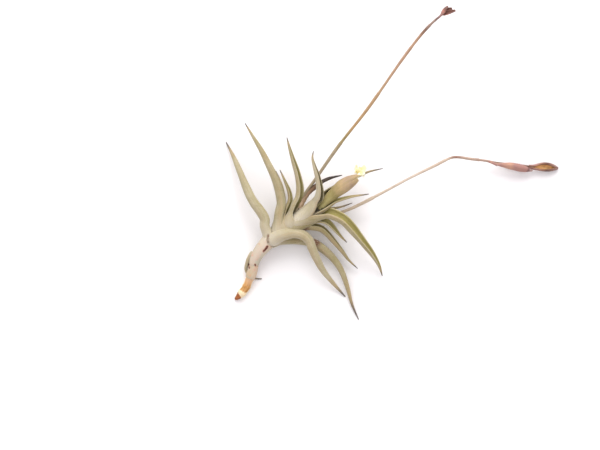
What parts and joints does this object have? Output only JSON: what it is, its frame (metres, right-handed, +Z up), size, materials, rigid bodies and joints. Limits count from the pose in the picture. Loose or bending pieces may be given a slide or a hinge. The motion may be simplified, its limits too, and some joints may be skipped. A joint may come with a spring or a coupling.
{
  "type": "air plant",
  "caption": "Stemmed air plant lying on its side: channelled grey leaves along a short stem, thin old flower stalks with dry seed pods and a small pale flower spike.",
  "frame": {"origin": "on the surface that the plant lies on, under the middle of its outline seen from above", "axes": "+Z upwards from the surface it lies on, +X along the surface towards the bent stalk's pods, +Y along the surface towards the tall stalk's tip"},
  "size_m": [0.1188, 0.1112, 0.0211],
  "materials": {
    "stem": "dry orange-brown stem with paler ring scars, matt",
    "leaf": "silvery grey-green leaf under a felt of fine scales, olive inside the channel, matt",
    "dry": "papery pale beige remains of shed leaves, matt",
    "stalk": "thin dry stalk, orange-brown to greyish pink, half matt",
    "petal": "thin pale-yellow petal, soft",
    "bract": "olive-green bract that turns tan at its edge, matt",
    "withered": "dark brown shrivelled leaf, matt",
    "pod": "dry mauve-brown seed pod with an amber lining, half matt"
  },
  "bodies": {
    "root": {"stem": "stem", "stalk_tall": "stalk", "stalk_bent": "stalk", "flower": "petal", "bract_upper": "bract", "bract_lower": "bract", "leaf_inner_back": "leaf", "leaf_inner_right": "leaf", "leaf_inner_low": "leaf", "leaf_front": "leaf", "leaf_high_right": "leaf", "leaf_high_left": "leaf", "leaf_mid_right_2": "leaf", "leaf_mid_left_small": "leaf", "leaf_mid_right_1": "leaf", "leaf_mid_left": "leaf", "leaf_under_left": "leaf", "leaf_low_right_over": "leaf", "leaf_low_left": "leaf", "leaf_low_right_under": "leaf", "leaf_old_hooked": "leaf", "withered_leaf": "withered", "dry_sheath_upper": "dry", "dry_sheath_middle": "dry", "dry_sheath_lower": "dry", "pod_closed": "pod", "pod_open": "pod", "pod_tall": "pod"}
  },
  "joints": []
}
